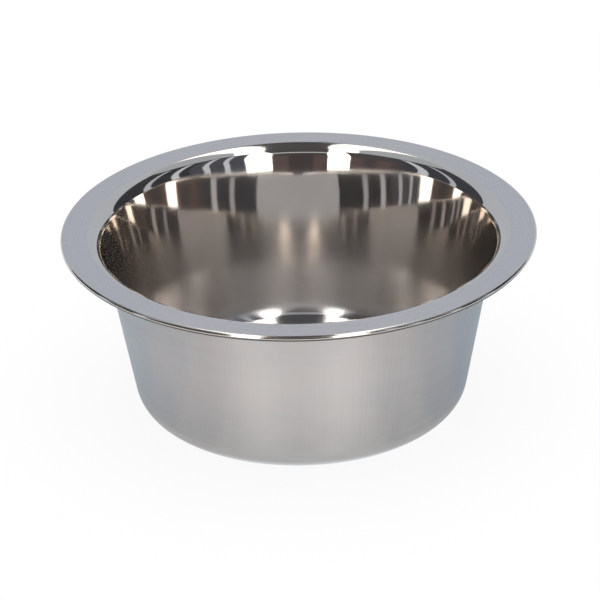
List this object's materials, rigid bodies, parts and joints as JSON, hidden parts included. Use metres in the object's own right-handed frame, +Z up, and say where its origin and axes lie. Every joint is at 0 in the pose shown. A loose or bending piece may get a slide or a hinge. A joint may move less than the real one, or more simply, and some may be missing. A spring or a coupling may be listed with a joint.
{
  "type": "metal pet bowl",
  "caption": "Round stainless steel pet bowl with leaning wall, flat floor, wide flat flange and curled edge, for food or water.",
  "frame": {"origin": "middle of the underside of the floor, where the bowl stands", "axes": "+Z up along the bowl's axis of symmetry; X and Y are level and alike, because the bowl is round"},
  "size_m": [0.21, 0.21, 0.0835],
  "materials": {
    "steel": "satin flange and lightly brushed outer wall, polished to a mirror inside"
  },
  "bodies": {
    "root": {"bowl": "steel"}
  },
  "joints": []
}
